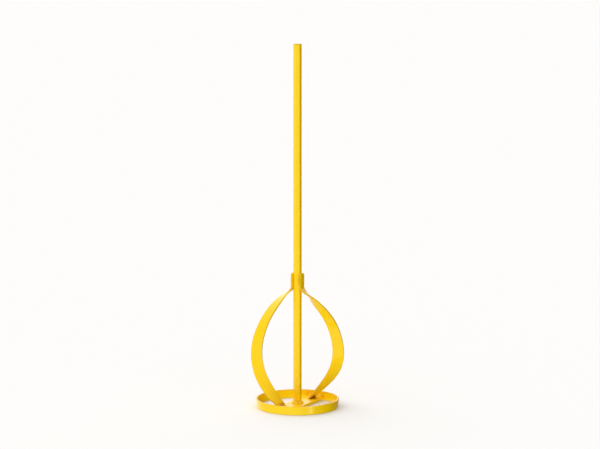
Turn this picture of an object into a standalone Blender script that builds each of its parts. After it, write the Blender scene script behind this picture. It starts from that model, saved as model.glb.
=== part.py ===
"""Mortar mixing paddle: two helical flat-bar blades on a hexagonal drive shaft,
closed below by a ring of flat bar on edge and a flat cross bar. Metres, +Z up
along the shaft, origin on the shaft axis in the plane the ring stands on."""
import math

import bmesh
import bpy
import numpy as np
from mathutils import Vector

# ---- driving dimensions (metres) -------------------------------------------
OVERALL_LENGTH = 0.495
HEX_ACROSS_FLATS = 0.0100
HEX_CORNER_RADIUS = 0.0007
HEX_END_CHAMFER = 0.0012

RING_TOP_RADIUS = 0.0569
RING_FOOT_RADIUS = 0.0557
RING_HEIGHT = 0.0120
RING_THICKNESS = 0.0025

BAR_WIDTH = 0.0280
BAR_THICKNESS = 0.0030
BAR_BASE = 0.0018
BAR_AZIMUTH = math.radians(62.0)

BLADE_WIDTH = 0.0160
BLADE_THICKNESS = 0.0025
TAB_WIDTH = 0.0108
TAB_TOP = 0.1850
TAB_BEND = 0.1660
TAB_CORNER_RADIUS = 0.0040

WELD_LEG = 0.0034
WELD_BULGE = 0.62
WELD_END_GAP = 0.0025
RIPPLE_DEPTH = 0.07
FIT_GAP = 0.0003
EDGE_BREAK = 0.00035

# The blades' centre line, from the bend under the tab down to the foot. Each
# station is (height, radius, azimuth, twist of the right blade, twist of the
# left blade): lengths in millimetres, angles in degrees round the shaft. The
# twist is the way the strip's width points. The left blade is set half a turn
# round from these values, and being bent by hand it is twisted a little less.
TAB_STATION = (166.0, 6.55, -30.0, -120.0, -120.0)
NECK_STATION = (155.0, 16.4, -28.0, -80.0, -92.5)
SHOULDER_STATION = (140.0, 31.0, -18.5, -42.5, -57.0)
UPPER_STATION = (115.0, 45.9, -3.0, -27.0, -40.0)
BELLY_STATION = (80.0, 55.4, 1.0, -17.5, -21.5)
HIP_STATION = (40.0, 50.0, 21.0, 15.5, 3.0)
FOOT_STATION = (3.0, 36.0, 61.5, 64.5, 65.5)
BLADE_STATIONS = (
    TAB_STATION,
    NECK_STATION,
    SHOULDER_STATION,
    UPPER_STATION,
    BELLY_STATION,
    HIP_STATION,
    FOOT_STATION,
)

# ---- derived ---------------------------------------------------------------
HEX_FLAT = HEX_ACROSS_FLATS / 2
HEX_CORNER = HEX_FLAT / math.cos(math.pi / 6)
RING_FLARE = (RING_TOP_RADIUS - RING_FOOT_RADIUS) / RING_HEIGHT
BAR_TOP = BAR_BASE + BAR_THICKNESS
FOOT_CUT = BAR_TOP + FIT_GAP
TAB_AZIMUTH = math.radians(TAB_STATION[2])
NECK_END = 0.148
SHOULDER_END = 0.130
PATH_END = -0.006

SHARP_EDGE = math.radians(28)
SHAFT_EDGE = math.radians(32)
BEAD_EDGE = math.radians(50)
PAINT_YELLOW = (0.90, 0.60, 0.02, 1.0)
BEAD_YELLOW = (0.86, 0.55, 0.03, 1.0)


def clear_scene():
    for item in list(bpy.data.objects):
        bpy.data.objects.remove(item, do_unlink=True)


def make_material(name, colour, roughness):
    material = bpy.data.materials.new(name)
    material.use_nodes = True
    shader = material.node_tree.nodes["Principled BSDF"]
    shader.inputs["Base Color"].default_value = colour
    shader.inputs["Roughness"].default_value = roughness
    shader.inputs["Metallic"].default_value = 0.0
    return material


def add_object(name, verts, faces, colour, roughness, smooth_angle):
    """Make one named, closed, outward-facing body with its own paint."""
    mesh = bpy.data.meshes.new(name)
    mesh.from_pydata([tuple(v) for v in verts], [], faces)
    work = bmesh.new()
    work.from_mesh(mesh)
    bmesh.ops.remove_doubles(work, verts=work.verts, dist=1e-6)
    bmesh.ops.recalc_face_normals(work, faces=work.faces)
    for face in work.faces:
        face.smooth = True
    for edge in work.edges:
        if len(edge.link_faces) == 2 and edge.calc_face_angle() > smooth_angle:
            edge.smooth = False
    work.to_mesh(mesh)
    work.free()
    mesh.materials.append(make_material(name + "_paint", colour, roughness))
    item = bpy.data.objects.new(name, mesh)
    bpy.context.scene.collection.objects.link(item)
    return item


def skin(sections, closed=False):
    """Join equal loops of points into a tube, capped unless it closes on itself."""
    count = len(sections[0])
    verts = [p for section in sections for p in section]
    faces = []
    spans = len(sections) if closed else len(sections) - 1
    for i in range(spans):
        here = i * count
        there = ((i + 1) % len(sections)) * count
        for j in range(count):
            k = (j + 1) % count
            faces.append((here + j, here + k, there + k, there + j))
    if not closed:
        last = (len(sections) - 1) * count
        faces.append(tuple(range(count - 1, -1, -1)))
        faces.append(tuple(range(last, last + count)))
    return verts, faces


def direction(angle):
    return Vector((math.cos(angle), math.sin(angle), 0.0))


def smooth_curve(knots, values):
    """Cubic spline through the stations, level at the first and free at the last."""
    x = np.array(knots, dtype=float)
    y = np.array(values, dtype=float)
    n = len(x)
    h = np.diff(x)
    slope = np.diff(y) / h
    system = np.zeros((n, n))
    rhs = np.zeros(n)
    system[0, 0] = 2 * h[0]
    system[0, 1] = h[0]
    rhs[0] = 6 * slope[0]
    for i in range(1, n - 1):
        system[i, i - 1] = h[i - 1]
        system[i, i] = 2 * (h[i - 1] + h[i])
        system[i, i + 1] = h[i]
        rhs[i] = 6 * (slope[i] - slope[i - 1])
    system[n - 1, n - 1] = 1.0
    bend = np.linalg.solve(system, rhs)

    def value(at):
        i = int(np.clip(np.searchsorted(x, at) - 1, 0, n - 2))
        a = x[i + 1] - at
        b = at - x[i]
        cubic = (bend[i] * a ** 3 + bend[i + 1] * b ** 3) / (6 * h[i])
        left = (y[i] / h[i] - bend[i] * h[i] / 6) * a
        right = (y[i + 1] / h[i] - bend[i + 1] * h[i] / 6) * b
        return cubic + left + right

    return value


STATION_DROP = [(TAB_STATION[0] - s[0]) / 1000 for s in BLADE_STATIONS]
RADIUS_AT = smooth_curve(STATION_DROP, [s[1] / 1000 for s in BLADE_STATIONS])
AZIMUTH_AT = smooth_curve(STATION_DROP, [math.radians(s[2]) for s in BLADE_STATIONS])
TWIST_RIGHT = smooth_curve(STATION_DROP, [math.radians(s[3]) for s in BLADE_STATIONS])
TWIST_LEFT = smooth_curve(STATION_DROP, [math.radians(s[4]) for s in BLADE_STATIONS])


def blade_centre(height):
    drop = max(0.0, TAB_BEND - height)
    arm = direction(AZIMUTH_AT(drop)) * RADIUS_AT(drop)
    return Vector((arm.x, arm.y, height))


def blade_frame(height, twist_at):
    """Centre of the strip with its width and thickness directions at a height."""
    centre = blade_centre(height)
    step = 0.0002
    along = (blade_centre(height - step) - blade_centre(height + step)).normalized()
    flat = direction(twist_at(max(0.0, TAB_BEND - height)))
    width = (flat - along * flat.dot(along)).normalized()
    return centre, width, along.cross(width), along


def strip_half_width(height):
    """Half the strip's width: full on the blade, narrowing and rounded on the tab."""
    full = BLADE_WIDTH / 2
    tab = TAB_WIDTH / 2
    blend = min(1.0, max(0.0, (height - NECK_END) / (TAB_BEND - NECK_END)))
    half = full + (tab - full) * blend * blend * (3 - 2 * blend)
    depth = TAB_TOP - height
    if depth < TAB_CORNER_RADIUS:
        reach = TAB_CORNER_RADIUS - depth
        half -= TAB_CORNER_RADIUS - math.sqrt(TAB_CORNER_RADIUS ** 2 - reach ** 2)
    return half


def strip_section(height, twist_at):
    """Chamfered rectangle across the strip at one height of its centre line."""
    centre, width, thick, _ = blade_frame(height, twist_at)
    a = strip_half_width(height)
    b = BLADE_THICKNESS / 2
    e = EDGE_BREAK
    corners = (
        (a, -b + e), (a, b - e), (a - e, b), (-a + e, b),
        (-a, b - e), (-a, -b + e), (-a + e, -b), (a - e, -b),
    )
    return [centre + width * u + thick * v for u, v in corners]


def section_heights():
    """Heights of the strip's sections, closest at the tab's rounded top and the bend."""
    heights = []
    for i in range(7):
        heights.append(TAB_TOP - TAB_CORNER_RADIUS * (1 - math.cos(i * math.pi / 12)))
    heights.extend(np.linspace(heights[-1], TAB_BEND, 5)[1:])
    heights.extend(np.linspace(TAB_BEND, SHOULDER_END, 34)[1:])
    heights.extend(np.linspace(SHOULDER_END, PATH_END, 70)[1:])
    return heights


def blade_sections(twist_at):
    """Sections from the tab's top down to a foot cut flat just above the cross bar."""
    sections = [strip_section(h, twist_at) for h in section_heights()]
    whole = [s for s in sections if min(p.z for p in s) > FOOT_CUT + EDGE_BREAK]
    foot = []
    for line in range(len(sections[0])):
        for upper, lower in zip(sections, sections[1:]):
            p = upper[line]
            q = lower[line]
            if p.z >= FOOT_CUT > q.z:
                foot.append(p.lerp(q, (p.z - FOOT_CUT) / (p.z - q.z)))
                break
    return whole + [foot]


def turned(points, half_turns):
    sign = -1.0 if half_turns else 1.0
    return [Vector((p.x * sign, p.y * sign, p.z)) for p in points]


def build_blade(name, half_turns, twist_at):
    sections = [turned(s, half_turns) for s in blade_sections(twist_at)]
    verts, faces = skin(sections)
    return add_object(name, verts, faces, PAINT_YELLOW, 0.32, SHARP_EDGE)


def build_shaft():
    """Hexagonal bar, a flat facing -Y, corners rounded and both ends chamfered."""
    levels = (
        (FOOT_CUT, EDGE_BREAK),
        (FOOT_CUT + EDGE_BREAK, 0.0),
        (OVERALL_LENGTH - HEX_END_CHAMFER, 0.0),
        (OVERALL_LENGTH, HEX_END_CHAMFER),
    )
    sections = []
    for height, inset in levels:
        flat = HEX_FLAT - inset
        arc_centre = (flat - HEX_CORNER_RADIUS) / math.cos(math.pi / 6)
        loop = []
        for i in range(6):
            middle = i * math.pi / 3
            for swing in (-math.pi / 6, -math.pi / 12, 0.0, math.pi / 12, math.pi / 6):
                point = direction(middle) * arc_centre
                point += direction(middle + swing) * HEX_CORNER_RADIUS
                loop.append(point + Vector((0, 0, height)))
        sections.append(loop)
    verts, faces = skin(sections)
    return add_object("shaft", verts, faces, PAINT_YELLOW, 0.30, SHAFT_EDGE)


def ring_outer(height):
    """The ring flares a little: its outer radius grows with height."""
    return RING_FOOT_RADIUS + RING_FLARE * height


def ring_inner(height):
    return ring_outer(height) - RING_THICKNESS


def build_ring():
    """Flat bar on edge rolled into a hoop, its rims slightly broken."""
    e = EDGE_BREAK
    top = RING_HEIGHT
    profile = (
        (ring_inner(e), e), (ring_inner(0) + e, 0.0),
        (ring_outer(0) - e, 0.0), (ring_outer(e), e),
        (ring_outer(top - e), top - e), (ring_outer(top) - e, top),
        (ring_inner(top) + e, top), (ring_inner(top - e), top - e),
    )
    sections = []
    for i in range(128):
        arm = direction(i * math.tau / 128)
        sections.append([arm * r + Vector((0, 0, z)) for r, z in profile])
    verts, faces = skin(sections, closed=True)
    return add_object("ring", verts, faces, PAINT_YELLOW, 0.32, SHARP_EDGE)


def build_cross_bar():
    """Flat bar across the ring, each end rounded to follow the ring's inside."""
    reach = ring_inner(BAR_BASE) - FIT_GAP
    half = BAR_WIDTH / 2
    spread = math.asin(half / reach)
    outline = []
    for turn in (0.0, math.pi):
        for i in range(13):
            swing = -spread + 2 * spread * i / 12
            outline.append(direction(BAR_AZIMUTH + turn + swing) * reach)
    e = EDGE_BREAK
    levels = ((BAR_BASE, e), (BAR_BASE + e, 0.0), (BAR_TOP - e, 0.0), (BAR_TOP, e))
    sections = []
    for height, inset in levels:
        shrink = 1 - inset / reach
        across = direction(BAR_AZIMUTH + math.pi / 2)
        loop = []
        for point in outline:
            side = point.dot(across)
            slim = math.copysign(min(abs(side), half - inset), side) - side
            loop.append(point * shrink + across * (slim + side - side * shrink))
        sections.append([p + Vector((0, 0, height)) for p in loop])
    verts, faces = skin(sections)
    return add_object("cross_bar", verts, faces, PAINT_YELLOW, 0.34, SHARP_EDGE)


def fillet_section(root, along_a, along_b, leg):
    """Rounded triangle lying in the corner between two surfaces at one point."""
    cosine = along_a.dot(along_b)
    stand_off = FIT_GAP / math.sqrt(1 - cosine * cosine)
    corner = root + (along_a + along_b) * stand_off
    points = [corner]
    start = corner + along_a * leg
    finish = corner + along_b * leg
    bulge = corner + (along_a + along_b) * leg * WELD_BULGE
    for i in range(7):
        t = i / 6
        blend = start * (1 - t) ** 2 + bulge * (2 * t * (1 - t)) + finish * t ** 2
        points.append(blend)
    return points


def ripple(t, ripples, closed=False):
    """Height of a bead along its run: tapered ends and stacked weld ripples."""
    wave = 1 + RIPPLE_DEPTH * math.sin(math.tau * ripples * t)
    if closed:
        return wave
    return wave * min(1.0, 0.45 + 4.0 * min(t, 1 - t))


def build_tab_weld(name, half_turns):
    """Bead in the corner between one edge of the tab and the next shaft flat."""
    out = direction(TAB_AZIMUTH)
    across = direction(TAB_AZIMUTH - math.pi / 2)
    back = direction(TAB_AZIMUTH - math.pi * 2 / 3)
    low = TAB_BEND + WELD_END_GAP
    high = TAB_TOP - WELD_END_GAP
    sections = []
    for i in range(41):
        t = i / 40
        height = low + (high - low) * t
        root = out * (HEX_FLAT + 0.00015) + across * (HEX_CORNER / 2)
        root += Vector((0, 0, height))
        section = fillet_section(root, across, back, WELD_LEG * 0.75 * ripple(t, 7))
        sections.append(turned(section, half_turns))
    verts, faces = skin(sections)
    return add_object(name, verts, faces, BEAD_YELLOW, 0.42, BEAD_EDGE)


def build_shaft_weld():
    """Bead running right round the foot of the shaft on the cross bar."""
    sections = []
    steps = 72
    for i in range(steps):
        angle = i * math.tau / steps
        off_flat = (angle % (math.pi / 3)) - math.pi / 6
        radius = HEX_FLAT / math.cos(off_flat)
        radius = min(radius, HEX_CORNER - 0.0001) + 0.0001
        out = direction(angle)
        root = out * radius + Vector((0, 0, BAR_TOP))
        leg = WELD_LEG * 1.05 * ripple(i / steps, 12, closed=True)
        sections.append(fillet_section(root, out, Vector((0, 0, 1)), leg))
    verts, faces = skin(sections, closed=True)
    return add_object("weld_shaft_foot", verts, faces, BEAD_YELLOW, 0.42, BEAD_EDGE)


def upper_face_point(offset, height, twist_at):
    """Point on the blade's upper face, a given way across its width."""
    low = height - 0.006
    high = height + 0.006
    for _ in range(24):
        middle = (low + high) / 2
        centre, width, thick, _ = blade_frame(middle, twist_at)
        if thick.z < 0:
            thick = -thick
        point = centre + width * offset + thick * (BLADE_THICKNESS / 2)
        if point.z < height:
            low = middle
        else:
            high = middle
    return point


def build_foot_weld(name, half_turns, twist_at):
    """Bead on the open side of a blade's foot, along its width on the bar."""
    sections = []
    for i in range(37):
        t = i / 36
        offset = BLADE_WIDTH * 0.92 * (t - 0.5)
        root = upper_face_point(offset, BAR_TOP, twist_at)
        higher = upper_face_point(offset, BAR_TOP + 0.003, twist_at)
        up = (higher - root).normalized()
        nearby = upper_face_point(offset + 0.001, BAR_TOP, twist_at)
        away = Vector((0, 0, 1)).cross((nearby - root).normalized())
        if away.dot(up) > 0:
            away = -away
        section = fillet_section(root, away, up, WELD_LEG * 0.8 * ripple(t, 6))
        sections.append(turned(section, half_turns))
    verts, faces = skin(sections)
    return add_object(name, verts, faces, BEAD_YELLOW, 0.42, BEAD_EDGE)


def build_bar_weld(name, azimuth):
    """Bead between the end of the cross bar and the inside of the ring."""
    radius = ring_inner(BAR_TOP)
    half_angle = 0.36 * BAR_WIDTH / radius
    sections = []
    for i in range(45):
        t = i / 44
        out = direction(azimuth + half_angle * (2 * t - 1))
        root = out * radius + Vector((0, 0, BAR_TOP))
        wall = (out * RING_FLARE + Vector((0, 0, 1))).normalized()
        leg = WELD_LEG * ripple(t, 8)
        sections.append(fillet_section(root, -out, wall, leg))
    verts, faces = skin(sections)
    return add_object(name, verts, faces, BEAD_YELLOW, 0.42, BEAD_EDGE)


def main():
    clear_scene()
    build_shaft()
    build_blade("blade_right", 0, TWIST_RIGHT)
    build_blade("blade_left", 1, TWIST_LEFT)
    build_ring()
    build_cross_bar()
    build_tab_weld("weld_tab_right", 0)
    build_tab_weld("weld_tab_left", 1)
    build_shaft_weld()
    build_foot_weld("weld_foot_right", 0, TWIST_RIGHT)
    build_foot_weld("weld_foot_left", 1, TWIST_LEFT)
    build_bar_weld("weld_bar_back", BAR_AZIMUTH)
    build_bar_weld("weld_bar_front", BAR_AZIMUTH + math.pi)


main()
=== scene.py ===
import math
import random

import bmesh
import bpy
import numpy as np
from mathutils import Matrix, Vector, noise


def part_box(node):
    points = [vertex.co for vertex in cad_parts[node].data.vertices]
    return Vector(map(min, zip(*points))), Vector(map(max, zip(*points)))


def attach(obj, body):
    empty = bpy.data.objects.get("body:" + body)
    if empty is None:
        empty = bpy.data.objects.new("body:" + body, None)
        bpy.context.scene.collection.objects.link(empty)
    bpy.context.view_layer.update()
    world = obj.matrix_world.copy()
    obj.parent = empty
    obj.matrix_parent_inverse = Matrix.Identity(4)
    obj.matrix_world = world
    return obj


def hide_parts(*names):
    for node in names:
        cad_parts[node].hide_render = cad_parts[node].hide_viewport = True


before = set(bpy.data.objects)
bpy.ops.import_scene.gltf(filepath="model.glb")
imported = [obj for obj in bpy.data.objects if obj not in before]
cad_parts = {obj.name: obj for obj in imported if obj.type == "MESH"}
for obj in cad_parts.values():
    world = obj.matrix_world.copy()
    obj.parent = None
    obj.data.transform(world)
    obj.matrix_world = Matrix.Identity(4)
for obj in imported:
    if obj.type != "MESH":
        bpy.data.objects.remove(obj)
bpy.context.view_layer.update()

# ---- the design's dimensions, as the solids have them ------------------------
SHAFT_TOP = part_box("shaft")[1].z
HEX_FLAT = 0.0050
HEX_CORNER_RADIUS = 0.0007
HEX_END_CHAMFER = 0.0012
HEX_SIDE = HEX_FLAT * math.tan(math.pi / 6)

RING_TOP_RADIUS = 0.0569
RING_FOOT_RADIUS = 0.0557
RING_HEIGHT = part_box("ring")[1].z
RING_THICKNESS = 0.0025
RING_FLARE = (RING_TOP_RADIUS - RING_FOOT_RADIUS) / RING_HEIGHT

BAR_WIDTH = 0.0280
BAR_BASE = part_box("cross_bar")[0].z
BAR_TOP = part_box("cross_bar")[1].z
BAR_AZIMUTH = math.radians(62.0)

BLADE_WIDTH = 0.0160
BLADE_THICKNESS = 0.0025
TAB_WIDTH = 0.0108
TAB_TOP = 0.1850
TAB_BEND = 0.1660
TAB_CORNER_RADIUS = 0.0040
NECK_END = 0.1480

# Stations down a blade: height and radius in millimetres, azimuth, and the
# twist of the right and of the left blade in degrees.
TAB_STATION = (166.0, 6.55, -30.0, -120.0, -120.0)
NECK_STATION = (155.0, 16.4, -28.0, -80.0, -92.5)
SHOULDER_STATION = (140.0, 31.0, -18.5, -42.5, -57.0)
UPPER_STATION = (115.0, 45.9, -3.0, -27.0, -40.0)
BELLY_STATION = (80.0, 55.4, 1.0, -17.5, -21.5)
HIP_STATION = (40.0, 50.0, 21.0, 15.5, 3.0)
FOOT_STATION = (3.0, 36.0, 61.5, 64.5, 65.5)
BLADE_STATIONS = (
    TAB_STATION,
    NECK_STATION,
    SHOULDER_STATION,
    UPPER_STATION,
    BELLY_STATION,
    HIP_STATION,
    FOOT_STATION,
)
TAB_AZIMUTH = math.radians(TAB_STATION[2])

# ---- finish -----------------------------------------------------------------
EDGE_ROUND = 0.00055
SINK = 0.0002
MILL_WAVE = 0.00005
WELD_LEG = 0.0034
WELD_BULGE = 0.62
RIPPLE_RISE = 0.13
RIPPLE_STEPS = 12
RING_FACE_SLIM = 0.96
FOOT_MARGIN = 0.0003
TAB_BEAD_LOW = 0.0015
TAB_BEAD_HIGH = 0.0022
TAB_BEAD_DEPTH = 0.0040
TAB_BEAD_LAP = 0.0006
SPATTER_REACH = 0.050
PAINT = (0.960, 0.560, 0.002)
PAINT_THIN = (0.965, 0.582, 0.004)
PAINT_THICK = (0.957, 0.545, 0.001)
PAINT_DUST = (0.860, 0.480, 0.003)
# brown of bare steel where paint is worn, also used as painted shade along edges and in tight
# corners
BARE_AND_SHADE = (0.270, 0.100, 0.004)
PAINT_SPECULAR = 0.14
PAINT_SPECULAR_TINT = (1.0, 0.86, 0.45, 1.0)
COAT = 0.28
COAT_ROUGHNESS = 0.10
PAINT_ROUGHNESS = (0.22, 0.34)
PEEL_DEPTH = 0.00002
BEAD_SHADE = 0.95
BEAD_ROUGHNESS = (0.26, 0.40)
BEAD_PEEL_DEPTH = 0.00004
SAG_DEPTH = 0.0003

# ---- thin paint and painted shade: how far the film has missed edges, with painted shade along them and in tight corners ---
EDGE_WEAR_AND_SHADE = 0.36
EDGE_BAND = 0.07
RIM_BAND = 0.12
FOOT_RIM_WEAR_AND_SHADE = EDGE_WEAR_AND_SHADE * 1.8
SHAFT_END_THIN = EDGE_WEAR_AND_SHADE * 1.4
SHAFT_END_BAND = 0.0016
SHAFT_END_FADE = 0.0010
# painted shade in the tight corner under each blade's foot, where the blade leans over the bar
CREVICE_SHADE = 0.85
CREVICE_START = 0.0006
CREVICE_MARGIN = 1.15
CREVICE_SIDE_FADE = 4.0
CREVICE_REACH_BLADE = 0.0130
CREVICE_REACH_BAR = 0.0060

# ---- studio -----------------------------------------------------------------
FLOOR_GREY = 0.80
FLOOR_SIDE = 45.0
FLOOR_NEAR = -30.0
FLOOR_FAR = 60.0
CAMERA_ELEVATION = math.radians(8.1)
CAMERA_DISTANCE = 3.107
CAMERA_TARGET = Vector((0.0034, 0.0, 0.2510))
VIEW_WIDTH = 0.8106
SENSOR_WIDTH = 36
COOL = (0.85, 1.00, 1.01)
WARM = (1.03, 0.99, 0.97)
# azimuth and elevation in degrees, sharpness, strength, colour
GLOWS = (
    (-135.0, -35.0, 2.0, 1.20, COOL),
    (-90.0, 0.0, 2.0, 1.10, COOL),
    (120.0, -35.0, 2.0, 0.60, WARM),
    (120.0, 35.0, 2.0, 1.80, WARM),
    (0.0, 90.0, 2.0, 1.00, WARM),
    (-51.0, -19.5, 350.0, 20.0, WARM),
)


def direction(angle):
    """Level unit vector at an azimuth, from +X towards +Y."""
    return Vector((math.cos(angle), math.sin(angle), 0.0))


def ease(value):
    """Smooth rise from 0 to 1 as the value goes from 0 to 1."""
    value = min(1.0, max(0.0, value))
    return value * value * (3 - 2 * value)


# ---- mesh helpers -----------------------------------------------------------
def skin(sections, closed=False):
    """Join equal loops of points into a tube, capped unless it closes on itself."""
    count = len(sections[0])
    verts = [p for section in sections for p in section]
    faces = []
    spans = len(sections) if closed else len(sections) - 1
    for i in range(spans):
        here = i * count
        there = ((i + 1) % len(sections)) * count
        for j in range(count):
            k = (j + 1) % count
            faces.append((here + j, here + k, there + k, there + j))
    if not closed:
        last = (len(sections) - 1) * count
        faces.append(tuple(range(count - 1, -1, -1)))
        faces.append(tuple(range(last, last + count)))
    return verts, faces


def add_piece(name, shapes, material, node, sharp=math.radians(35), wear_and_shade_at=None):
    """One smooth-shaded piece made of closed shapes, standing for a CAD node.

    The last argument says for each vertex how far that point is darkened towards the brown of bare
    steel, from 0 to 1: worn paint, and painted shade along edges and in tight corners."""
    work = bmesh.new()
    for verts, faces in shapes:
        made = [work.verts.new(v) for v in verts]
        for face in faces:
            work.faces.new([made[i] for i in face])
    bmesh.ops.recalc_face_normals(work, faces=work.faces)
    mesh = bpy.data.meshes.new(name)
    work.to_mesh(mesh)
    work.free()
    wear_and_shade_layer = mesh.attributes.new("worn_paint_and_shade", "FLOAT", "POINT")
    if wear_and_shade_at is not None:
        wear_and_shade_layer.data.foreach_set("value", [wear_and_shade_at(v.co) for v in mesh.vertices])
    mesh.shade_smooth()
    mesh.set_sharp_from_angle(angle=sharp)
    mesh.materials.append(material)
    piece = bpy.data.objects.new(name, mesh)
    bpy.context.scene.collection.objects.link(piece)
    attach(piece, "root")
    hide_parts(node)
    return piece


def rounded_outline(half_width, half_height, radius, arc_steps=4, side_steps=6):
    """Rectangle with round corners, its long sides divided so that they can wave."""
    points = []
    corners = ((1, 1, 0), (-1, 1, 1), (-1, -1, 2), (1, -1, 3))
    for sx, sy, quarter in corners:
        cx = sx * (half_width - radius)
        cy = sy * (half_height - radius)
        for i in range(arc_steps + 1):
            angle = (quarter + i / arc_steps) * math.pi / 2
            points.append((cx + radius * math.cos(angle), cy + radius * math.sin(angle)))
        if quarter in (0, 2):
            for i in range(1, side_steps):
                slide = 1 - 2 * i / side_steps
                points.append((sx * (half_width - radius) * slide, sy * half_height))
    return points


def wave(point, wavelength, depth, seed=0.0):
    """Gentle unevenness of hot-rolled bar at a point, in metres."""
    place = Vector(point) / wavelength + Vector((seed, seed * 0.7, -seed))
    return noise.noise(place) * depth


# ---- blades -----------------------------------------------------------------
def smooth_curve(knots, values):
    """Cubic spline through the stations, level at the first and free at the last."""
    x = np.array(knots, dtype=float)
    y = np.array(values, dtype=float)
    n = len(x)
    h = np.diff(x)
    slope = np.diff(y) / h
    system = np.zeros((n, n))
    rhs = np.zeros(n)
    system[0, 0] = 2 * h[0]
    system[0, 1] = h[0]
    rhs[0] = 6 * slope[0]
    for i in range(1, n - 1):
        system[i, i - 1] = h[i - 1]
        system[i, i] = 2 * (h[i - 1] + h[i])
        system[i, i + 1] = h[i]
        rhs[i] = 6 * (slope[i] - slope[i - 1])
    system[n - 1, n - 1] = 1.0
    bend = np.linalg.solve(system, rhs)

    def value(at):
        i = int(np.clip(np.searchsorted(x, at) - 1, 0, n - 2))
        a = x[i + 1] - at
        b = at - x[i]
        cubic = (bend[i] * a ** 3 + bend[i + 1] * b ** 3) / (6 * h[i])
        left = (y[i] / h[i] - bend[i] * h[i] / 6) * a
        right = (y[i + 1] / h[i] - bend[i + 1] * h[i] / 6) * b
        return cubic + left + right

    return value


STATION_DROP = [(TAB_STATION[0] - s[0]) / 1000 for s in BLADE_STATIONS]
RADIUS_AT = smooth_curve(STATION_DROP, [s[1] / 1000 for s in BLADE_STATIONS])
AZIMUTH_AT = smooth_curve(STATION_DROP, [math.radians(s[2]) for s in BLADE_STATIONS])
TWIST_RIGHT = smooth_curve(STATION_DROP, [math.radians(s[3]) for s in BLADE_STATIONS])
TWIST_LEFT = smooth_curve(STATION_DROP, [math.radians(s[4]) for s in BLADE_STATIONS])


def blade_centre(height):
    """Point of the strip's centre line at a height."""
    drop = max(0.0, TAB_BEND - height)
    arm = direction(AZIMUTH_AT(drop)) * RADIUS_AT(drop)
    return Vector((arm.x, arm.y, height))


def blade_frame(height, twist_at):
    """Centre of the strip with its width and thickness directions at a height."""
    centre = blade_centre(height)
    step = 0.0002
    along = (blade_centre(height - step) - blade_centre(height + step)).normalized()
    flat = direction(twist_at(max(0.0, TAB_BEND - height)))
    width = (flat - along * flat.dot(along)).normalized()
    return centre, width, along.cross(width)


def strip_half_width(height):
    """Half the strip's width: full on the blade, narrowing and rounded on the tab."""
    full = BLADE_WIDTH / 2
    tab = TAB_WIDTH / 2
    half = full + (tab - full) * ease((height - NECK_END) / (TAB_BEND - NECK_END))
    depth = TAB_TOP - height
    if depth < TAB_CORNER_RADIUS:
        reach = TAB_CORNER_RADIUS - depth
        half -= TAB_CORNER_RADIUS - math.sqrt(TAB_CORNER_RADIUS ** 2 - reach ** 2)
    return half


def blade_section(height, twist_at, seed):
    """Round-edged cross-section of the strip, a little uneven as bent bar is."""
    centre, width, thick = blade_frame(height, twist_at)
    half = strip_half_width(height) - MILL_WAVE
    half += wave(centre, 0.011, MILL_WAVE, seed)
    dish = wave(centre, 0.019, MILL_WAVE, seed + 5)
    points = []
    for u, v in rounded_outline(half, BLADE_THICKNESS / 2 - MILL_WAVE, EDGE_ROUND):
        lift = dish + wave(centre + width * u, 0.008, MILL_WAVE * 0.5, seed + 9)
        points.append(centre + width * u + thick * (v + lift * 0.5))
    return points


def blade_heights():
    """Levels of the cross-sections, close together where the strip curves most."""
    heights = []
    steps = 10
    for i in range(steps + 1):
        turn = i * math.pi / 2 / steps
        heights.append(TAB_TOP - TAB_CORNER_RADIUS * (1 - math.cos(turn)))
    heights.extend(np.linspace(heights[-1], TAB_BEND, 16)[1:])
    heights.extend(np.linspace(TAB_BEND, 0.130, 60)[1:])
    heights.extend(np.linspace(0.130, -0.006, 150)[1:])
    return heights


def turned(points, half_turns):
    """The points as they are, or turned half round the shaft's axis."""
    sign = -1.0 if half_turns else 1.0
    return [Vector((p.x * sign, p.y * sign, p.z)) for p in points]


def crevice_shade(point, twist_at, reach):
    """Painted shade: how dark a point is made in the tight corner under the blade's leaning foot,
    where shade falls.
    """
    if point.z > BAR_TOP + reach:
        return 0.0
    centre, width, thick = blade_frame(BAR_TOP, twist_at)
    if thick.z > 0:
        thick = -thick
    off = point - centre
    beyond = off.dot(Vector((thick.x, thick.y, 0.0)).normalized())
    along = abs(off.dot(width)) / (BLADE_WIDTH / 2)
    if beyond < CREVICE_START:
        return 0.0
    near = ease(CREVICE_MARGIN - (beyond + (point.z - BAR_TOP)) / reach)
    return CREVICE_SHADE * near * ease(CREVICE_SIDE_FADE * (CREVICE_MARGIN - along))


def build_blade(name, half_turns, twist_at, material):
    """The strip from its rounded tab down to a foot sunk into the bar's weld."""
    seed = 3.0 + 11.0 * half_turns
    floor = BAR_TOP - SINK
    sections = [blade_section(h, twist_at, seed) for h in blade_heights()]
    whole = [s for s in sections if min(p.z for p in s) > floor + FOOT_MARGIN]
    foot = []
    for line in range(len(sections[0])):
        for upper, lower in zip(sections, sections[1:]):
            p = upper[line]
            q = lower[line]
            if p.z >= floor > q.z:
                foot.append(p.lerp(q, (p.z - floor) / (p.z - q.z)))
                break
    shape = skin([turned(s, half_turns) for s in whole + [foot]])

    def wear_and_shade_at(point):
        here = turned([point], half_turns)[0]
        centre, width, thick = blade_frame(here.z, twist_at)
        off = here - centre
        edge = abs(off.dot(width)) / strip_half_width(min(here.z, TAB_TOP - 0.0005))
        # thinner paint along the strip's edges, darkened further there as painted shade; painted
        # shade in the corner under the foot
        edge_wear_and_shade = EDGE_WEAR_AND_SHADE * ease((edge - 1 + EDGE_BAND) / EDGE_BAND)
        return max(edge_wear_and_shade, crevice_shade(here, twist_at, CREVICE_REACH_BLADE))

    return add_piece(name + "_strip", [shape], material, name, wear_and_shade_at=wear_and_shade_at)


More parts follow.
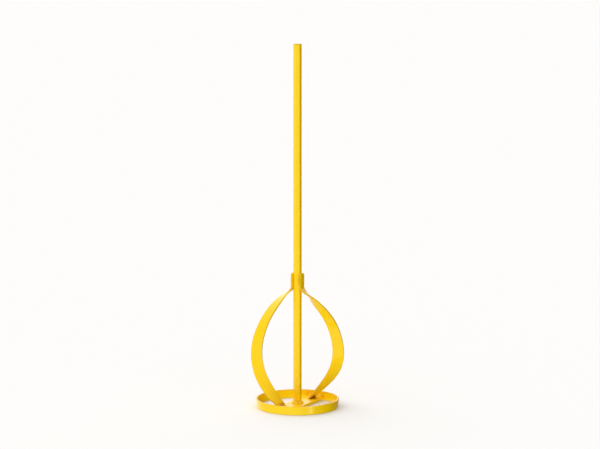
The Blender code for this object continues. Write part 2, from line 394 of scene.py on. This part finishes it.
# ---- shaft, ring and bar ------------------------------------------------------
def shaft_loop(height, inset, seed):
    """Hexagon with round corners at a height, drawn in by the inset."""
    flat = HEX_FLAT - inset
    arc_centre = (flat - HEX_CORNER_RADIUS) / math.cos(math.pi / 6)
    loop = []
    for i in range(6):
        middle = i * math.pi / 3
        for k in range(7):
            swing = (k / 6 - 0.5) * math.pi / 3
            point = direction(middle) * arc_centre
            point += direction(middle + swing) * HEX_CORNER_RADIUS
            loop.append(point)
        start = loop[-1]
        ahead = direction(middle + math.pi / 3) * arc_centre
        ahead += direction(middle + math.pi / 6) * HEX_CORNER_RADIUS
        for k in range(1, 4):
            loop.append(start.lerp(ahead, k / 4))
    points = []
    for point in loop:
        outward = point.normalized()
        lifted = Vector((point.x, point.y, height))
        low = wave(lifted, 0.016, MILL_WAVE * 0.7, seed) - MILL_WAVE * 0.7
        points.append(lifted + outward * low)
    return points


def build_shaft(material):
    """Drawn hexagonal bar with softly rounded corners and a turned end chamfer."""
    levels = [(BAR_TOP - SINK, 0.0)]
    for height in np.linspace(BAR_TOP + 0.001, SHAFT_TOP - HEX_END_CHAMFER - 0.0002, 150):
        levels.append((height, 0.0))
    for i in range(7):
        turn = i / 6 * math.pi / 2
        levels.append((
            SHAFT_TOP - HEX_END_CHAMFER * (1 - math.sin(turn)),
            HEX_END_CHAMFER * 0.8 * (1 - math.cos(turn)),
        ))
    levels.append((SHAFT_TOP, HEX_END_CHAMFER * 1.6))
    shape = skin([shaft_loop(h, inset, 1.0) for h, inset in levels])

    def wear_and_shade_at(point):
        return SHAFT_END_THIN * ease((point.z - SHAFT_TOP + SHAFT_END_BAND) / SHAFT_END_FADE)

    return add_piece("shaft_bar", [shape], material, "shaft", math.radians(25), wear_and_shade_at)


def ring_middle(height):
    """Radius to the middle of the ring's bar at a height."""
    return RING_FOOT_RADIUS + RING_FLARE * height - RING_THICKNESS / 2


def build_ring(material):
    """Flat bar rolled on edge, with the faint flats that rolling leaves."""
    outline = rounded_outline(RING_HEIGHT / 2, RING_THICKNESS / 2, EDGE_ROUND)
    sections = []
    steps = 300
    for i in range(steps):
        arm = direction(i * math.tau / steps)
        section = []
        for u, v in outline:
            height = RING_HEIGHT / 2 + u * (1 - MILL_WAVE / RING_HEIGHT)
            radius = ring_middle(height) + v * RING_FACE_SLIM
            place = arm * radius + Vector((0, 0, height))
            section.append(place + arm * wave(place, 0.013, MILL_WAVE, 21.0))
        sections.append(section)

    def wear_and_shade_at(point):
        # thinner paint along both rims, more on the foot rim, darkened further along them as
        # painted shade
        rim = (point.z - RING_HEIGHT / 2) / (RING_HEIGHT / 2)
        rim_wear_and_shade = FOOT_RIM_WEAR_AND_SHADE if rim < 0 else EDGE_WEAR_AND_SHADE
        return rim_wear_and_shade * ease((abs(rim) - 1 + RIM_BAND) / RIM_BAND)

    return add_piece("ring_hoop", [skin(sections, closed=True)], material, "ring", wear_and_shade_at=wear_and_shade_at)


def build_cross_bar(material):
    """Flat bar across the ring, its ends cut round to sit inside the hoop."""
    reach = ring_middle(BAR_BASE) - RING_THICKNESS / 2 + SINK * 0.5
    along = direction(BAR_AZIMUTH)
    across = direction(BAR_AZIMUTH + math.pi / 2)
    middle = (BAR_BASE + BAR_TOP) / 2
    outline = rounded_outline(BAR_WIDTH / 2, (BAR_TOP - BAR_BASE) / 2, EDGE_ROUND, 4, 22)
    sections = []
    steps = 110
    for i in range(steps + 1):
        share = 2 * i / steps - 1
        section = []
        for u, v in outline:
            run = share * math.sqrt(reach ** 2 - u ** 2)
            place = along * run + across * u + Vector((0, 0, middle + v))
            dip = MILL_WAVE + wave(place, 0.015, MILL_WAVE, 17.0)
            place.z -= math.copysign(dip * 0.5, v)
            section.append(place)
        sections.append(section)

    def wear_and_shade_at(point):
        # painted shade on the bar in the corners where the blades' feet lean over it
        right = crevice_shade(point, TWIST_RIGHT, CREVICE_REACH_BAR)
        left = crevice_shade(turned([point], 1)[0], TWIST_LEFT, CREVICE_REACH_BAR)
        return max(right, left)

    return add_piece("cross_bar_flat", [skin(sections)], material, "cross_bar", wear_and_shade_at=wear_and_shade_at)


# ---- weld beads -----------------------------------------------------------------
def bead(section_at, length, ripples, seed, closed=False, mirrored=False):
    """Run of weld metal in a corner: stacked crescents, uneven, with rounded ends.

    section_at(t) gives the corner point, the directions along the two surfaces
    away from it, and how far the metal reaches along each."""
    steps = ripples * RIPPLE_STEPS
    across = 14
    sections = []
    for i in range(steps if closed else steps + 1):
        t = i / steps
        root, along_a, along_b, leg_a, leg_b = section_at(t)
        cosine = along_a.dot(along_b)
        over_a = (along_b - along_a * cosine).normalized()
        over_b = (along_a - along_b * cosine).normalized()
        outward = (over_a + over_b).normalized()
        swell = 1.0
        if not closed:
            near_end = min(t, 1 - t) * length / max(leg_a, leg_b)
            swell = math.sqrt(max(0.0, 1 - (1 - min(1.0, near_end)) ** 2))
            swell = 0.12 + 0.88 * swell
        drift = 1 + 0.10 * noise.noise(root * 260 + Vector((seed, 0, 0)))
        start = along_a * leg_a * swell * drift
        finish = along_b * leg_b * swell * (2 - drift)
        control = (start + finish) * WELD_BULGE
        loop = [root - (over_a + over_b) * SINK * 1.5]
        for j in range(across + 1):
            s = j / across
            point = start * (1 - s) ** 2 + control * (2 * s * (1 - s)) + finish * s ** 2
            crown = math.sin(math.pi * s)
            phase = ripples * t + 0.55 * crown
            hump = 1 - (2 * (phase % 1.0) - 1) ** 2
            lump = noise.noise((root + point) * 420 + Vector((0, seed, 0)))
            rise = WELD_LEG * swell * (RIPPLE_RISE * (hump - 0.6) + 0.05 * lump) * crown ** 0.6
            point = root + point + outward * rise
            point -= over_a * SINK * (1 - s) ** 4
            point -= over_b * SINK * s ** 4
            loop.append(point)
        sections.append(turned(loop, mirrored))
    return skin(sections, closed)


def spatter(places, seed):
    """Small frozen droplets: squat round bumps sunk a little into the metal."""
    rng = random.Random(seed)
    shapes = []
    for place, normal in places:
        size = rng.uniform(0.00022, 0.00048)
        side = normal.orthogonal().normalized()
        other = normal.cross(side)
        sections = []
        for i in range(7):
            turn = -0.5 + i / 6 * (math.pi / 2 + 0.44)
            reach = size * math.cos(turn)
            level = place + normal * (size * 0.75 * math.sin(turn))
            loop = []
            for j in range(12):
                spin = j * math.tau / 12
                loop.append(level + (side * math.cos(spin) + other * math.sin(spin)) * reach)
            sections.append(loop)
        shapes.append(skin(sections))
    return shapes


def scatter(count, seed, place_at):
    """Droplet places: each is tried until it lands where place_at allows one."""
    rng = random.Random(seed)
    places = []
    for _ in range(count * 40):
        found = place_at(rng)
        if found is not None:
            places.append(found)
        if len(places) == count:
            break
    return places


def build_tab_weld(name, half_turns, material):
    """Bead in the groove between the tab's overhang and the next flat."""
    out = direction(TAB_AZIMUTH)
    across = direction(TAB_AZIMUTH - math.pi / 2)
    flat = direction(TAB_AZIMUTH - math.pi * 5 / 6)
    face_out = direction(TAB_AZIMUTH - math.pi / 3)
    low = TAB_BEND + TAB_BEAD_LOW
    high = TAB_TOP - TAB_BEAD_HIGH
    corner = out * HEX_FLAT + across * HEX_SIDE

    def section_at(t):
        root = corner + Vector((0, 0, low + (high - low) * t))
        return root, across, flat, TAB_WIDTH / 2 - HEX_SIDE + TAB_BEAD_LAP, TAB_BEAD_DEPTH

    def place_at(rng):
        slide = rng.uniform(0.0038, 0.0052)
        height = rng.uniform(low - 0.004, high + 0.006)
        point = corner + flat * slide + Vector((0, 0, height))
        return turned([point], half_turns)[0], turned([face_out], half_turns)[0]

    shapes = [bead(section_at, high - low, 8, 2.0 + half_turns, mirrored=half_turns)]
    shapes += spatter(scatter(3, 5 + half_turns, place_at), 8 + half_turns)
    return add_piece(name + "_bead", shapes, material, name, math.radians(60))


def hex_radius(angle):
    """Distance from the axis to the hexagon's face, cut off a little at corners."""
    off_flat = (angle % (math.pi / 3)) - math.pi / 6
    return min(HEX_FLAT / math.cos(off_flat), HEX_FLAT * 1.1)


def on_bar(point, margin):
    """Whether a point lies over the bar's flat top, clear of its edges."""
    along = point.dot(direction(BAR_AZIMUTH))
    side = point.dot(direction(BAR_AZIMUTH + math.pi / 2))
    return abs(side) < BAR_WIDTH / 2 - margin and abs(along) < SPATTER_REACH


def build_shaft_weld(material):
    """Bead running right round the foot of the shaft on the cross bar."""

    def section_at(t):
        angle = (t + 0.04) * math.tau
        out = direction(angle + math.pi / 6)
        root = out * hex_radius(angle) + Vector((0, 0, BAR_TOP))
        leg = WELD_LEG * (1.0 + 0.12 * noise.noise(out * 2.3))
        return root, out, Vector((0, 0, 1)), leg, leg * 1.05

    def place_at(rng):
        point = direction(rng.uniform(0, math.tau)) * rng.uniform(0.0098, 0.0135)
        if not on_bar(point, 0.002):
            return None
        return point + Vector((0, 0, BAR_TOP)), Vector((0, 0, 1))

    shapes = [bead(section_at, 1.0, 13, 9.0, closed=True)]
    shapes += spatter(scatter(7, 12, place_at), 13)
    return add_piece("weld_shaft_foot_bead", shapes, material, "weld_shaft_foot", math.radians(60))


def upper_face_point(offset, height, twist_at):
    """Point on the blade's upper face, a given way across its width."""
    low = height - 0.006
    high = height + 0.006
    for _ in range(24):
        middle = (low + high) / 2
        centre, width, thick = blade_frame(middle, twist_at)
        if thick.z < 0:
            thick = -thick
        point = centre + width * offset + thick * (BLADE_THICKNESS / 2)
        if point.z < height:
            low = middle
        else:
            high = middle
    return point


def build_foot_weld(name, half_turns, twist_at, material):
    """Bead on the open side of a blade's foot, along its width on the bar."""
    run = BLADE_WIDTH * 0.96

    def section_at(t):
        offset = run * (t - 0.5)
        root = upper_face_point(offset, BAR_TOP, twist_at)
        higher = upper_face_point(offset, BAR_TOP + 0.003, twist_at)
        up = (higher - root).normalized()
        nearby = upper_face_point(offset + 0.001, BAR_TOP, twist_at)
        away = Vector((0, 0, 1)).cross((nearby - root).normalized())
        if away.dot(up) > 0:
            away = -away
        return root, away, up, WELD_LEG * 0.85, WELD_LEG * 0.80

    def place_at(rng):
        root, away, _, _, _ = section_at(rng.uniform(0.05, 0.95))
        point = root + away * rng.uniform(0.0036, 0.0062)
        if not on_bar(point, 0.0015):
            return None
        return turned([point], half_turns)[0], Vector((0, 0, 1))

    shapes = [bead(section_at, run, 8, 4.0 + half_turns, mirrored=half_turns)]
    shapes += spatter(scatter(4, 21 + half_turns, place_at), 24 + half_turns)
    return add_piece(name + "_bead", shapes, material, name, math.radians(60))


def build_bar_weld(name, azimuth, seed, material):
    """Bead between the end of the cross bar and the inside of the ring."""
    radius = ring_middle(BAR_TOP) - RING_THICKNESS / 2
    half_angle = 0.40 * BAR_WIDTH / radius
    wall = Vector((0, 0, 1))

    def section_at(t):
        out = direction(azimuth + half_angle * (2 * t - 1))
        root = out * radius + Vector((0, 0, BAR_TOP))
        climb = (out * RING_FLARE + wall).normalized()
        return root, -out, climb, WELD_LEG, WELD_LEG * 0.95

    def place_at(rng):
        out = direction(azimuth + half_angle * rng.uniform(-0.9, 0.9))
        point = out * (radius - rng.uniform(0.0040, 0.0065)) + Vector((0, 0, BAR_TOP))
        if not on_bar(point, 0.0015):
            return None
        return point, wall

    shapes = [bead(section_at, half_angle * 2 * radius, 10, seed)]
    shapes += spatter(scatter(4, int(seed), place_at), int(seed) + 3)
    return add_piece(name + "_bead", shapes, material, name, math.radians(60))


# ---- materials ----------------------------------------------------------------
def paint_material(name, shade=1.0, roughness=PAINT_ROUGHNESS, peel_depth=PEEL_DEPTH):
    """Gloss enamel: colour drifting with film thickness, worn paint and painted shade from a
    vertex layer, orange peel and fine dust.
    """
    material = bpy.data.materials.new(name)
    material.use_nodes = True
    nodes = material.node_tree.nodes
    links = material.node_tree.links
    shader = nodes["Principled BSDF"]
    shader.inputs["Metallic"].default_value = 0.0
    shader.inputs["Specular IOR Level"].default_value = PAINT_SPECULAR
    shader.inputs["Specular Tint"].default_value = PAINT_SPECULAR_TINT
    shader.inputs["Coat Weight"].default_value = COAT
    shader.inputs["Coat Roughness"].default_value = COAT_ROUGHNESS
    place = nodes.new("ShaderNodeTexCoord").outputs["Object"]

    def cloud(scale, detail, rough=0.5):
        node = nodes.new("ShaderNodeTexNoise")
        node.inputs["Scale"].default_value = scale
        node.inputs["Detail"].default_value = detail
        node.inputs["Roughness"].default_value = rough
        links.new(place, node.inputs["Vector"])
        return node.outputs["Fac"]

    def spread(value, low, high, to_low, to_high):
        node = nodes.new("ShaderNodeMapRange")
        node.inputs["From Min"].default_value = low
        node.inputs["From Max"].default_value = high
        node.inputs["To Min"].default_value = to_low
        node.inputs["To Max"].default_value = to_high
        links.new(value, node.inputs["Value"])
        return node.outputs["Result"]

    def blend(amount, under, over):
        node = nodes.new("ShaderNodeMix")
        node.data_type = "RGBA"
        links.new(amount, node.inputs["Factor"])
        for socket, colour in ((node.inputs["A"], under), (node.inputs["B"], over)):
            if isinstance(colour, tuple):
                socket.default_value = tuple(c * shade for c in colour) + (1.0,)
            else:
                links.new(colour, socket)
        return node.outputs["Result"]

    # broad drift of the film, thin and thick patches, and pinhead dust in it
    body = blend(spread(cloud(38.0, 3.0), 0.35, 0.65, 0.0, 1.0), PAINT_THICK, PAINT)
    body = blend(spread(cloud(150.0, 4.0), 0.55, 0.75, 0.0, 0.8), body, PAINT_THIN)
    body = blend(spread(cloud(1500.0, 1.0), 0.74, 0.80, 0.0, 0.5), body, PAINT_DUST)
    # darken towards the bare-steel brown by the vertex layer: worn paint, with painted shade along
    # edges and in tight corners
    wear_and_shade_layer = nodes.new("ShaderNodeAttribute")
    wear_and_shade_layer.attribute_name = "worn_paint_and_shade"
    ragged = nodes.new("ShaderNodeMath")
    ragged.operation = "MULTIPLY"
    links.new(wear_and_shade_layer.outputs["Fac"], ragged.inputs[0])
    links.new(spread(cloud(420.0, 3.0), 0.30, 0.70, 0.65, 1.25), ragged.inputs[1])
    body = blend(ragged.outputs[0], body, BARE_AND_SHADE)
    links.new(body, shader.inputs["Base Color"])

    low, high = roughness
    links.new(spread(cloud(240.0, 3.0), 0.3, 0.7, low, high), shader.inputs["Roughness"])

    peel = nodes.new("ShaderNodeBump")
    peel.inputs["Strength"].default_value = 0.8
    peel.inputs["Distance"].default_value = peel_depth
    links.new(cloud(560.0, 2.0), peel.inputs["Height"])
    sag = nodes.new("ShaderNodeBump")
    sag.inputs["Strength"].default_value = 0.3
    sag.inputs["Distance"].default_value = SAG_DEPTH
    links.new(cloud(85.0, 2.0), sag.inputs["Height"])
    links.new(peel.outputs["Normal"], sag.inputs["Normal"])
    links.new(sag.outputs["Normal"], shader.inputs["Normal"])
    links.new(sag.outputs["Normal"], shader.inputs["Coat Normal"])
    return material


# ---- studio -------------------------------------------------------------------
def build_world():
    """Studio surround: broad cool glows from the front left, warm from behind and
    above, and one small bright warm glow low at the front right."""
    world = bpy.data.worlds.new("studio")
    world.use_nodes = True
    nodes = world.node_tree.nodes
    links = world.node_tree.links
    way = nodes.new("ShaderNodeTexCoord").outputs["Generated"]

    def glow(azimuth, elevation, sharpness, strength, colour):
        towards = direction(math.radians(azimuth)) * math.cos(math.radians(elevation))
        towards.z = math.sin(math.radians(elevation))
        dot = nodes.new("ShaderNodeVectorMath")
        dot.operation = "DOT_PRODUCT"
        dot.inputs[1].default_value = towards
        links.new(way, dot.inputs[0])
        facing = nodes.new("ShaderNodeMath")
        facing.operation = "MAXIMUM"
        facing.inputs[1].default_value = 0.0
        links.new(dot.outputs["Value"], facing.inputs[0])
        falling = nodes.new("ShaderNodeMath")
        falling.operation = "POWER"
        falling.inputs[1].default_value = sharpness
        links.new(facing.outputs[0], falling.inputs[0])
        tinted = nodes.new("ShaderNodeVectorMath")
        tinted.operation = "SCALE"
        tinted.inputs[0].default_value = Vector(colour) * strength
        links.new(falling.outputs[0], tinted.inputs["Scale"])
        return tinted.outputs["Vector"]

    total = None
    for lobe in GLOWS:
        light = glow(*lobe)
        if total is None:
            total = light
            continue
        both = nodes.new("ShaderNodeVectorMath")
        both.operation = "ADD"
        links.new(total, both.inputs[0])
        links.new(light, both.inputs[1])
        total = both.outputs["Vector"]
    links.new(total, nodes["Background"].inputs["Color"])
    bpy.context.scene.world = world


def build_studio():
    """The surround and a wide pale floor, which stays out of the light's bounces."""
    build_world()
    mesh = bpy.data.meshes.new("floor")
    corners = [
        (-FLOOR_SIDE, FLOOR_NEAR, 0),
        (FLOOR_SIDE, FLOOR_NEAR, 0),
        (FLOOR_SIDE, FLOOR_FAR, 0),
        (-FLOOR_SIDE, FLOOR_FAR, 0),
    ]
    mesh.from_pydata(corners, [], [(0, 1, 2, 3)])
    floor = bpy.data.objects.new("floor", mesh)
    material = bpy.data.materials.new("floor_paper")
    material.use_nodes = True
    shader = material.node_tree.nodes["Principled BSDF"]
    shader.inputs["Base Color"].default_value = (FLOOR_GREY, FLOOR_GREY, FLOOR_GREY, 1)
    shader.inputs["Roughness"].default_value = 0.9
    shader.inputs["Specular IOR Level"].default_value = 0.0
    mesh.materials.append(material)
    bpy.context.scene.collection.objects.link(floor)
    floor.visible_diffuse = False
    floor.visible_glossy = False
    floor.visible_shadow = False


def build_camera():
    """Long-lens view from the front, a little above the paddle's middle."""
    back = Vector((0, -math.cos(CAMERA_ELEVATION), math.sin(CAMERA_ELEVATION)))
    data = bpy.data.cameras.new("camera")
    camera = bpy.data.objects.new("camera", data)
    camera.location = CAMERA_TARGET + back * CAMERA_DISTANCE
    camera.rotation_euler = (math.pi / 2 - CAMERA_ELEVATION, 0, 0)
    data.sensor_width = SENSOR_WIDTH
    data.lens = SENSOR_WIDTH * CAMERA_DISTANCE / VIEW_WIDTH
    data.clip_end = 100
    bpy.context.scene.collection.objects.link(camera)
    bpy.context.scene.camera = camera


def main():
    """Camera, surround and the twelve pieces, one for each solid."""
    build_camera()
    build_studio()
    paint = paint_material("enamel")
    bead_paint = paint_material("enamel_bead", BEAD_SHADE, BEAD_ROUGHNESS, BEAD_PEEL_DEPTH)
    build_shaft(paint)
    build_blade("blade_right", 0, TWIST_RIGHT, paint)
    build_blade("blade_left", 1, TWIST_LEFT, paint)
    build_ring(paint)
    build_cross_bar(paint)
    build_tab_weld("weld_tab_right", 0, bead_paint)
    build_tab_weld("weld_tab_left", 1, bead_paint)
    build_shaft_weld(bead_paint)
    build_foot_weld("weld_foot_right", 0, TWIST_RIGHT, bead_paint)
    build_foot_weld("weld_foot_left", 1, TWIST_LEFT, bead_paint)
    build_bar_weld("weld_bar_back", BAR_AZIMUTH, 31.0, bead_paint)
    build_bar_weld("weld_bar_front", BAR_AZIMUTH + math.pi, 37.0, bead_paint)
    bpy.context.scene.view_settings.view_transform = "Standard"


main()
